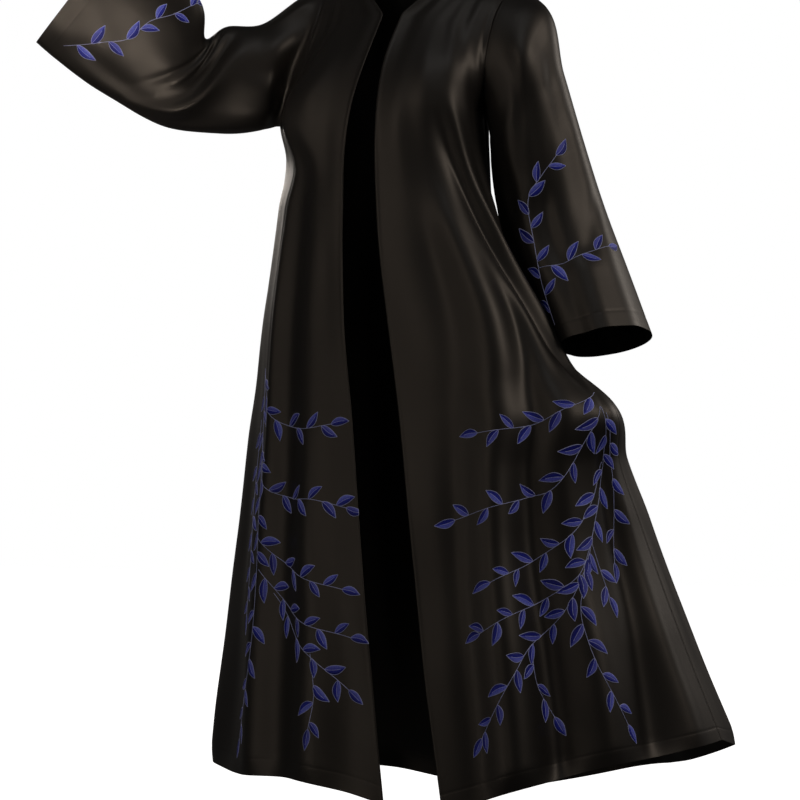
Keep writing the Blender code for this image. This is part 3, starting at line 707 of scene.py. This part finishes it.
def sleeve_spread(points, along):
    """Each point's place on the flat sleeve: distance round it from the top, and along it."""
    whole_round, length = SLEEVE_SPREAD
    around = np.arange(points.shape[1]) / points.shape[1] * whole_round
    return np.stack(np.broadcast_arrays(around[None, :], along[:, None] * length), axis=-1)


class Ground:
    """The outer face of one cloth, read at spots given as (across, down)."""

    def __init__(self, points, normals, across, down):
        self.points = points
        self.normals = normals
        self.across = across
        self.down = down

    def read(self, table, spots):
        column = np.interp(spots[:, 0], self.across, np.arange(len(self.across)))
        row = np.interp(spots[:, 1], self.down, np.arange(len(self.down)))
        j = np.minimum(column.astype(int), len(self.across) - 2)
        i = np.minimum(row.astype(int), len(self.down) - 2)
        u = (column - j)[:, None]
        v = (row - i)[:, None]
        above = table[i, j] * (1 - u) + table[i, j + 1] * u
        below = table[i + 1, j] * (1 - u) + table[i + 1, j + 1] * u
        return above * (1 - v) + below * v

    def at(self, spots, height):
        """Points this high above the cloth at the spots."""
        return self.read(self.points, spots) + height[:, None] * self.normal(spots)

    def normal(self, spots):
        return unit(self.read(self.normals, spots))

    def shift(self, spot, step):
        """Spots reached from one spot by steps of x, y, z metres in the cloth."""
        reach = np.array([(self.across[-1] - self.across[0]) * 0.01, (self.down[-1] - self.down[0]) * 0.01])
        around = spot + np.array([[0.0, 0.0], [reach[0], 0.0], [0.0, reach[1]]])
        here, right, below = self.read(self.points, around)
        slopes = np.stack([(right - here) / reach[0], (below - here) / reach[1]], axis=1)
        return spot + step @ np.linalg.pinv(slopes).T


def panel_ground(points, side):
    return Ground(points, outward(points, side), panel_places(), garment_drops())


def sleeve_ground(points, side, along):
    closed = np.concatenate([points, points[:, :1]], axis=1)
    normals = tube_outward(points, side)
    normals = np.concatenate([normals, normals[:, :1]], axis=1)
    return Ground(closed, normals, np.linspace(0.0, 360.0, closed.shape[1]), along)


class Stitching:
    """Collects grids of points, and joins them as one piece of embroidery."""

    def __init__(self):
        self.points = []
        self.faces = []
        self.uvs = []
        self.count = 0

    def add(self, grid, spread):
        rows, columns = grid.shape[:2]
        quads = grid_faces(rows, columns, False)
        self.points.append(grid.reshape(-1, 3))
        self.faces.append(quads + self.count)
        self.uvs.append(spread.reshape(-1, 2)[quads])
        self.count += rows * columns

    def sew(self, name, material):
        parts = (np.concatenate(self.points), np.concatenate(self.faces), np.concatenate(self.uvs))
        return mesh_object(name, *parts, material)


def thread(stitching, ground, spots, half_width, shade):
    """A raised line of thread along the spots."""
    middle = ground.at(spots, np.zeros(len(spots)))
    normals = ground.normal(spots)
    sideways = unit(np.cross(normals, np.gradient(middle, axis=0)))
    strands = []
    for aside, rise in THREAD_PROFILE:
        strands.append(middle + aside * half_width * sideways + rise * THREAD_RISE * normals)
    length = np.concatenate([[0.0], np.cumsum(np.linalg.norm(np.diff(middle, axis=0), axis=1))])
    round_it = shade + np.arange(len(strands)) / len(strands)
    spread = np.stack(np.broadcast_arrays(length[:, None] / THREAD_REPEAT, round_it[None, :]), axis=-1)
    stitching.add(np.stack(strands, axis=1), spread)


def leaf(fill, lines, ground, spot, heading, size, random):
    """One leaf: two domed halves of satin stitch, an outline round them and a line up the middle."""
    t = np.linspace(0.0, 1.0, LEAF_ROWS + 1)
    across = np.linspace(-1.0, 1.0, LEAF_COLUMNS + 1)
    length = LEAF_LENGTH * size
    base_power, tip_power, widest = LEAF_SHAPE
    width = LEAF_HALF_WIDTH * size * (t**base_power * (1 - t) ** tip_power) / widest
    bend = random.uniform(-LEAF_BEND, LEAF_BEND) * length * np.sin(np.pi * t)
    sideways = np.cross(ground.normal(spot[None])[0], heading)

    def spots(along, aside):
        return ground.shift(spot, along[:, None] * heading + aside[:, None] * sideways)

    along = np.repeat(length * t, len(across))
    aside = (bend[:, None] + width[:, None] * across[None, :]).ravel()
    dome = np.sqrt(np.maximum(0.0, 1.0 - (2.0 * np.abs(across) - 1.0) ** 2))
    rise = (LEAF_RISE * dome[None, :] * np.minimum(1.0, width / LEAF_HALF_WIDTH * 1.6)[:, None]).ravel()
    grid = ground.at(spots(along, aside), rise + LEAF_LIFT).reshape(len(t), len(across), 3)
    # Painted sheen: a random step that sets how light or dark this leaf's fill is, standing in for the
    # sheen of its thread angle.
    sheen_step = random.integers(0, LEAF_SHEEN_STEPS)
    spread = np.stack(np.broadcast_arrays(t[:, None] + 2.0 * sheen_step, across[None, :] * 0.5 + 0.5), axis=-1)
    fill.add(grid, spread)
    shade = random.uniform(0.0, 1.0)
    for hand in (-1.0, 1.0):
        thread(lines, ground, spots(length * t, bend + hand * width), OUTLINE_HALF_WIDTH * size, shade)
    inner = t[t < MIDDLE_LINE_REACH]
    thread(lines, ground, spots(length * inner, bend[: len(inner)]), OUTLINE_HALF_WIDTH * size, shade)


def spray(fill, lines, ground, rows, seed):
    """Stems with leaves set on them, left and right by turns, and one at the tip of each."""
    random = np.random.default_rng(seed)
    middles = []
    for _, hand, *points in rows:
        knots = np.linspace(0.0, 1.0, len(points))
        spots = curve_through(knots, points, np.linspace(0.0, 1.0, STEM_SPOTS))
        path = ground.at(spots, np.zeros(len(spots)))
        lengths = np.concatenate([[0.0], np.cumsum(np.linalg.norm(np.diff(path, axis=0), axis=1))])
        thread(lines, ground, spots, STEM_HALF_WIDTH, STEM_SHADE)
        heads = unit(np.gradient(path, axis=0))
        normals = ground.normal(spots)
        at = LEAF_SPACING * FIRST_LEAF
        while at < lengths[-1] - LEAF_SPACING * LAST_LEAF:
            i = int(np.searchsorted(lengths, at))
            angle = np.radians(LEAF_ANGLE + random.uniform(-LEAF_ANGLE_SPREAD, LEAF_ANGLE_SPREAD))
            sideways = np.cross(normals[i], heads[i])
            heading = unit(np.cos(angle) * heads[i] + hand * np.sin(angle) * sideways)
            size = random.uniform(*LEAF_SIZES) * (1.0 - LEAF_SHRINK * at / lengths[-1])
            middle = path[i] + heading * LEAF_LENGTH * size / 2
            if all(np.linalg.norm(middle - other) > LEAF_ROOM for other in middles):
                leaf(fill, lines, ground, spots[i], heading, size, random)
                middles.append(middle)
            hand = -hand
            at += LEAF_SPACING * random.uniform(0.85, 1.15)
        leaf(fill, lines, ground, spots[-1], heads[-1], TIP_LEAF_SIZE, random)


def new_material(name):
    material = bpy.data.materials.new(name)
    material.use_nodes = True
    tree = material.node_tree
    return material, tree, tree.nodes["Principled BSDF"]


def set_inputs(node, **values):
    for key, value in values.items():
        node.inputs[key.replace("_", " ")].default_value = value


def ramp(tree, factor, stops):
    """A colour ramp of (place, colour) stops, driven by a factor."""
    node = tree.nodes.new("ShaderNodeValToRGB")
    elements = node.color_ramp.elements
    for i, (place, colour) in enumerate(stops):
        element = elements[i] if i < 2 else elements.new(place)
        element.position = place
        element.color = (*colour, 1.0)
    tree.links.new(factor, node.inputs["Fac"])
    return node.outputs["Color"]


def noise(tree, where, scale, detail):
    """Noise on the flat cloth, stretched by a scale across and a scale down."""
    stretch = tree.nodes.new("ShaderNodeMapping")
    stretch.inputs["Scale"].default_value = (*scale, 1.0)
    tree.links.new(where, stretch.inputs["Vector"])
    node = tree.nodes.new("ShaderNodeTexNoise")
    set_inputs(node, Scale=1.0, Detail=detail)
    tree.links.new(stretch.outputs["Vector"], node.inputs["Vector"])
    return node.outputs["Fac"]


def bumps(tree, shader, heights):
    """Bumps laid one on another. Each row: the height's socket, strength, distance."""
    last = None
    for height, strength, distance in heights:
        node = tree.nodes.new("ShaderNodeBump")
        set_inputs(node, Strength=strength, Distance=distance)
        tree.links.new(height, node.inputs["Height"])
        if last:
            tree.links.new(last, node.inputs["Normal"])
        last = node.outputs["Normal"]
    tree.links.new(last, shader.inputs["Normal"])


def satin():
    """Near-black satin: a fine weave, faint slubs along the weft, and a broad warm sheen."""
    material, tree, shader = new_material("black_satin")
    where = tree.nodes.new("ShaderNodeUVMap")
    where.uv_map = "cloth"
    uv = where.outputs["UV"]
    slubs = noise(tree, uv, (9.0, 420.0), 3.0)
    clouds = noise(tree, uv, (7.0, 5.0), 4.0)
    weave = noise(tree, uv, (1700.0, 1700.0), 1.0)
    colour = ramp(tree, clouds, ((0.25, (0.0055, 0.0050, 0.0050)), (0.75, (0.0100, 0.0088, 0.0082))))
    tree.links.new(colour, shader.inputs["Base Color"])
    rough = tree.nodes.new("ShaderNodeMapRange")
    tree.links.new(slubs, rough.inputs["Value"])
    set_inputs(rough, To_Min=0.43, To_Max=0.51)
    tree.links.new(rough.outputs["Result"], shader.inputs["Roughness"])
    shader.inputs["Specular IOR Level"].default_value = 0.55
    shader.inputs["Specular Tint"].default_value = (1.0, 0.90, 0.80, 1.0)
    shader.inputs["Sheen Weight"].default_value = 0.02
    shader.inputs["Sheen Roughness"].default_value = 0.45
    shader.inputs["Sheen Tint"].default_value = (1.0, 0.86, 0.74, 1.0)
    bumps(tree, shader, ((slubs, 0.10, 0.0006), (weave, 0.10, 0.0003)))
    return material


def leaf_thread():
    """Royal-blue satin stitch, one half of each leaf paler, slanting out from the middle line."""
    material, tree, shader = new_material("leaf_thread")
    where = tree.nodes.new("ShaderNodeUVMap")
    where.uv_map = "cloth"
    split = tree.nodes.new("ShaderNodeSeparateXYZ")
    tree.links.new(where.outputs["UV"], split.inputs["Vector"])
    across = split.outputs["Y"]
    # Painted sheen: noise read at each leaf's random step, which makes its whole fill lighter or darker.
    painted_sheen_noise = noise(tree, where.outputs["UV"], (0.37, 0.0), 0.0)
    threads = noise(tree, where.outputs["UV"], (46.0, 3.0), 2.0)
    halves = (
        (0.02, (0.012, 0.019, 0.26)),
        (0.46, (0.024, 0.038, 0.54)),
        (0.54, (0.12, 0.15, 0.86)),
        (0.96, (0.26, 0.30, 0.98)),
    )
    blue = ramp(tree, across, halves)
    # Painted sheen: each leaf's fill is darkened at random, down to a duller purple, standing in for the
    # sheen that its thread angle catches.
    painted_sheen = ramp(tree, painted_sheen_noise, ((0.35, (0.50, 0.46, 0.60)), (0.65, (1.0, 1.0, 1.0))))
    dark = ramp(tree, threads, ((0.35, (0.62, 0.62, 0.66)), (0.65, (1.0, 1.0, 1.0))))
    colour = blue
    for other in (painted_sheen, dark):
        mix = tree.nodes.new("ShaderNodeMix")
        mix.data_type = "RGBA"
        mix.blend_type = "MULTIPLY"
        mix.inputs["Factor"].default_value = 1.0
        tree.links.new(colour, mix.inputs["A"])
        tree.links.new(other, mix.inputs["B"])
        colour = mix.outputs["Result"]
    tree.links.new(colour, shader.inputs["Base Color"])
    set_inputs(shader, Roughness=0.55)
    shader.inputs["Specular IOR Level"].default_value = 0.25
    bumps(tree, shader, ((threads, 0.35, 0.0004),))
    return material


def outline_thread():
    """Periwinkle thread, twisted, for the outlines, middle lines and stems."""
    material, tree, shader = new_material("outline_thread")
    where = tree.nodes.new("ShaderNodeUVMap")
    where.uv_map = "cloth"
    twist = noise(tree, where.outputs["UV"], (40.0, 2.0), 1.0)
    colour = ramp(tree, twist, ((0.3, (0.36, 0.39, 0.78)), (0.7, (0.62, 0.66, 0.96))))
    tree.links.new(colour, shader.inputs["Base Color"])
    set_inputs(shader, Roughness=0.6)
    shader.inputs["Specular IOR Level"].default_value = 0.25
    bumps(tree, shader, ((twist, 0.4, 0.0004),))
    return material


def white_floor():
    material, _, shader = new_material("floor_white")
    set_inputs(shader, Base_Color=(0.86, 0.86, 0.86, 1.0), Roughness=0.9)
    set_inputs(shader, Emission_Color=(1.0, 1.0, 1.0, 1.0), Emission_Strength=1.0)
    floor_mesh = bpy.data.meshes.new("floor")
    corners = [(-1, -1), (1, -1), (1, 1), (-1, 1)]
    points = [(x * FLOOR_REACH, y * FLOOR_REACH, -FLOOR_DROP) for x, y in corners]
    floor_mesh.from_pydata(points, [], [(0, 1, 2, 3)])
    floor_mesh.materials.append(material)
    floor = bpy.data.objects.new("floor", floor_mesh)
    bpy.context.scene.collection.objects.link(floor)
    floor.visible_diffuse = False
    floor.visible_glossy = False


def light_up():
    """Soft square lights aimed at the cloak, and a white surround that lights it only faintly."""
    for name, place, aim, size, watts, spread, colour in LIGHTS:
        data = bpy.data.lights.new(name, "AREA")
        data.energy = watts
        data.size = size
        data.spread = np.radians(spread)
        data.color = colour
        lamp = bpy.data.objects.new(name, data)
        lamp.location = place
        lamp.rotation_euler = (Vector(aim) - Vector(place)).to_track_quat("-Z", "Y").to_euler()
        lamp.visible_camera = False
        bpy.context.scene.collection.objects.link(lamp)
    world = bpy.data.worlds.new("studio")
    bpy.context.scene.world = world
    world.use_nodes = True
    tree = world.node_tree
    tree.nodes.clear()
    ray = tree.nodes.new("ShaderNodeLightPath")
    faint = tree.nodes.new("ShaderNodeBackground")
    set_inputs(faint, Color=(1.0, 1.0, 1.0, 1.0), Strength=SURROUND_GLOW)
    white = tree.nodes.new("ShaderNodeBackground")
    set_inputs(white, Color=(1.0, 1.0, 1.0, 1.0), Strength=1.0)
    mix = tree.nodes.new("ShaderNodeMixShader")
    out = tree.nodes.new("ShaderNodeOutputWorld")
    tree.links.new(ray.outputs["Is Camera Ray"], mix.inputs["Fac"])
    tree.links.new(faint.outputs["Background"], mix.inputs[1])
    tree.links.new(white.outputs["Background"], mix.inputs[2])
    tree.links.new(mix.outputs["Shader"], out.inputs["Surface"])
    bpy.context.scene.view_settings.view_transform = "Standard"


def set_camera():
    """A level camera in front and to the wearer's left."""
    aside = np.array([np.cos(CAMERA_AZIMUTH), np.sin(CAMERA_AZIMUTH)])
    back = np.array([np.sin(CAMERA_AZIMUTH), -np.cos(CAMERA_AZIMUTH)])
    place = CAMERA_DISTANCE * back + CAMERA_ASIDE * aside
    data = bpy.data.cameras.new("camera")
    data.lens = LENS
    data.sensor_width = SENSOR_WIDTH
    data.clip_end = VIEW_REACH
    camera = bpy.data.objects.new("camera", data)
    camera.location = (*place, CAMERA_HEIGHT)
    camera.rotation_euler = (np.pi / 2, 0.0, CAMERA_AZIMUTH)
    bpy.context.scene.collection.objects.link(camera)
    bpy.context.scene.camera = camera


def dress(name, pieces, flat, area):
    """Hands the cloth of a node, then its embroidery, to the model."""
    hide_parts(name)
    for piece, slot in zip(pieces, ("satin", "leaf_thread", "outline_thread")):
        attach(piece, "root")


def build():
    left = (LEFT_ARMHOLE, LEFT_SEAM)
    right = (RIGHT_ARMHOLE, RIGHT_SEAM)
    left_folds = LEFT_FRONT_FOLDS + LEFT_FRONT_CREASES
    right_folds = RIGHT_FRONT_FOLDS + RIGHT_FRONT_CREASES
    back_folds = BACK_FOLDS + BACK_CREASES
    fl = panel(LEFT_EDGE, *left, LEFT_HEM, left_folds, LEFT_CHEST, 1, False)
    fr = panel(RIGHT_EDGE, *right, RIGHT_HEM, right_folds, RIGHT_CHEST, -1, False)
    bl = panel(centre_back_table(1), *left, BACK_HEM, back_folds, SHOULDER_BLADES, 1, True)
    br = panel(centre_back_table(-1), *right, BACK_HEM, back_folds, SHOULDER_BLADES, -1, True)
    round_off((bl, br), BACK_ROUNDING)
    sl, sl_along = sleeve(fl, bl, LEFT_SLEEVE, LEFT_SLEEVE_FOLDS + LEFT_SLEEVE_CREASES, 1)
    sr, sr_along = sleeve(fr, br, RIGHT_SLEEVE, RIGHT_SLEEVE_FOLDS + RIGHT_SLEEVE_CREASES, -1)

    black = satin()
    threads = (leaf_thread(), outline_thread())
    backs = [panel_spread(bl, 1), panel_spread(br, -1)]
    back = cloth("cloth_back", [bl, br], [-1, 1], backs, False, black)
    dress("back", [back], *BACK_CUT)
    fronts = (
        ("front_left", fl, 1, LEFT_SPRAYS, 11),
        ("front_right", fr, -1, RIGHT_SPRAYS, 23),
    )
    for name, points, side, sprays, seed in fronts:
        fabric = cloth("cloth_" + name, [points], [side], [panel_spread(points, side)], False, black)
        sewn = embroider(name, panel_ground(points, side), sprays, seed, threads)
        dress(name, [fabric, *sewn], *FRONT_CUT)
    sleeves = (
        ("sleeve_left", sl, 1, sl_along, LEFT_SLEEVE_SPRAYS, 37),
        ("sleeve_right", sr, -1, sr_along, RIGHT_SLEEVE_SPRAYS, 41),
    )
    for name, points, side, along, sprays, seed in sleeves:
        fabric = cloth("cloth_" + name, [points], [-side], [sleeve_spread(points, along)], True, black)
        sewn = embroider(name, sleeve_ground(points, side, along), sprays, seed, threads)
        dress(name, [fabric, *sewn], *SLEEVE_CUT)


def embroider(name, ground, sprays, seed, threads):
    """The leaves and the lines of one piece's embroidery."""
    fill = Stitching()
    lines = Stitching()
    spray(fill, lines, ground, sprays, seed)
    return [fill.sew("leaves_" + name, threads[0]), lines.sew("stems_" + name, threads[1])]


build()
white_floor()
light_up()
set_camera()
